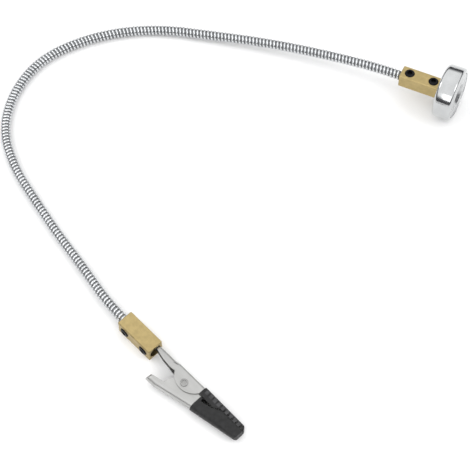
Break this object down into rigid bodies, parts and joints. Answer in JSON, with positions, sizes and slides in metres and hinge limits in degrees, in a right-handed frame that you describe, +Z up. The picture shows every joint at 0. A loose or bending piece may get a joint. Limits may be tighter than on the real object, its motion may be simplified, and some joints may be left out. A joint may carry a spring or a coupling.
{
  "type": "magnetic ground clamp",
  "caption": "Flexible-arm ground clamp: pot magnet at one end of a gooseneck, spring alligator clip at the other, joined by square brass blocks.",
  "frame": {"origin": "centre of the magnet's face, on the plane of its rim", "axes": "+Z up as the clamp lies on a bench, with the clip on its side; +X level, the way the magnet faces, its face tipped 3 degrees up from it"},
  "size_m": [0.2546, 0.271, 0.0338],
  "materials": {
    "nickel_plate": "polished nickel plate",
    "magnet": "nickel-plated, satin",
    "screw_steel": "zinc plated",
    "brass": "satin, machined",
    "black_oxide": "black oxide",
    "chrome_wire": "bright chrome",
    "clip_steel": "nickel-plated, satin",
    "spring_steel": "bright wire",
    "vinyl": "matte black vinyl"
  },
  "bodies": {
    "magnet_base": {"magnet_cup": "nickel_plate", "ring_magnet": "magnet", "magnet_screw": "screw_steel", "magnet_block": "brass", "magnet_block_set_screws": "black_oxide", "core_spring_1": "chrome_wire", "wedge_wire_1": "chrome_wire"},
    "arm_1": {"core_spring_2": "chrome_wire", "wedge_wire_2": "chrome_wire"},
    "arm_2": {"core_spring_3": "chrome_wire", "wedge_wire_3": "chrome_wire"},
    "arm_3": {"core_spring_4": "chrome_wire", "wedge_wire_4": "chrome_wire"},
    "arm_4": {"core_spring_5": "chrome_wire", "wedge_wire_5": "chrome_wire"},
    "arm_5": {"core_spring_6": "chrome_wire", "wedge_wire_6": "chrome_wire"},
    "arm_6": {"core_spring_7": "chrome_wire", "wedge_wire_7": "chrome_wire"},
    "arm_7": {"core_spring_8": "chrome_wire", "wedge_wire_8": "chrome_wire"},
    "clip_end": {"core_spring_9": "chrome_wire", "wedge_wire_9": "chrome_wire", "clip_block": "brass", "clip_block_set_screws": "black_oxide", "fixed_jaw": "clip_steel", "pivot_rivet": "clip_steel", "jaw_spring": "spring_steel", "fixed_jaw_cover": "vinyl"},
    "lower_jaw": {"moving_jaw": "clip_steel", "moving_jaw_cover": "vinyl"}
  },
  "joints": [
    {"name": "arm_swing_1", "type": "hinge", "parent": "magnet_base", "child": "arm_1", "pos_m": [-0.06528, -0.00073, -0.00441], "axis": [-0.1226, -0.0064, 0.9924], "range_deg": [-30, 30]},
    {"name": "arm_nod_2", "type": "hinge", "parent": "arm_1", "child": "arm_2", "pos_m": [-0.1206, -0.00679, -0.01005], "axis": [-0.1736, 0.9848, 0], "range_deg": [-30, 30]},
    {"name": "arm_swing_3", "type": "hinge", "parent": "arm_2", "child": "arm_3", "pos_m": [-0.17478, -0.01955, -0.01318], "axis": [-0.0326, -0.0087, 0.9994], "range_deg": [-30, 30]},
    {"name": "arm_nod_4", "type": "hinge", "parent": "arm_3", "child": "arm_4", "pos_m": [-0.22317, -0.04554, -0.01397], "axis": [0.6691, -0.7431, 0], "range_deg": [-30, 30]},
    {"name": "arm_swing_5", "type": "hinge", "parent": "arm_4", "child": "arm_5", "pos_m": [-0.25014, -0.09207, -0.01397], "axis": [0, 0, 1], "range_deg": [-30, 30]},
    {"name": "arm_nod_6", "type": "hinge", "parent": "arm_5", "child": "arm_6", "pos_m": [-0.23443, -0.14287, -0.01397], "axis": [-0.7314, -0.682, 0], "range_deg": [-30, 30]},
    {"name": "arm_swing_7", "type": "hinge", "parent": "arm_6", "child": "arm_7", "pos_m": [-0.18976, -0.1756, -0.01397], "axis": [0, 0, 1], "range_deg": [-30, 30]},
    {"name": "arm_nod_8", "type": "hinge", "parent": "arm_7", "child": "clip_end", "pos_m": [-0.14179, -0.20386, -0.01254], "axis": [-0.5299, -0.848, 0], "range_deg": [-30, 30]},
    {"name": "jaw_pivot", "type": "hinge", "parent": "clip_end", "child": "lower_jaw", "pos_m": [-0.06891, -0.23752, -0.01207], "axis": [0, 0, -1], "range_deg": [0, 30], "stiffness_Nm_per_rad": 0.3, "springref_deg": -20.05, "deforming": ["jaw_spring"]}
  ]
}
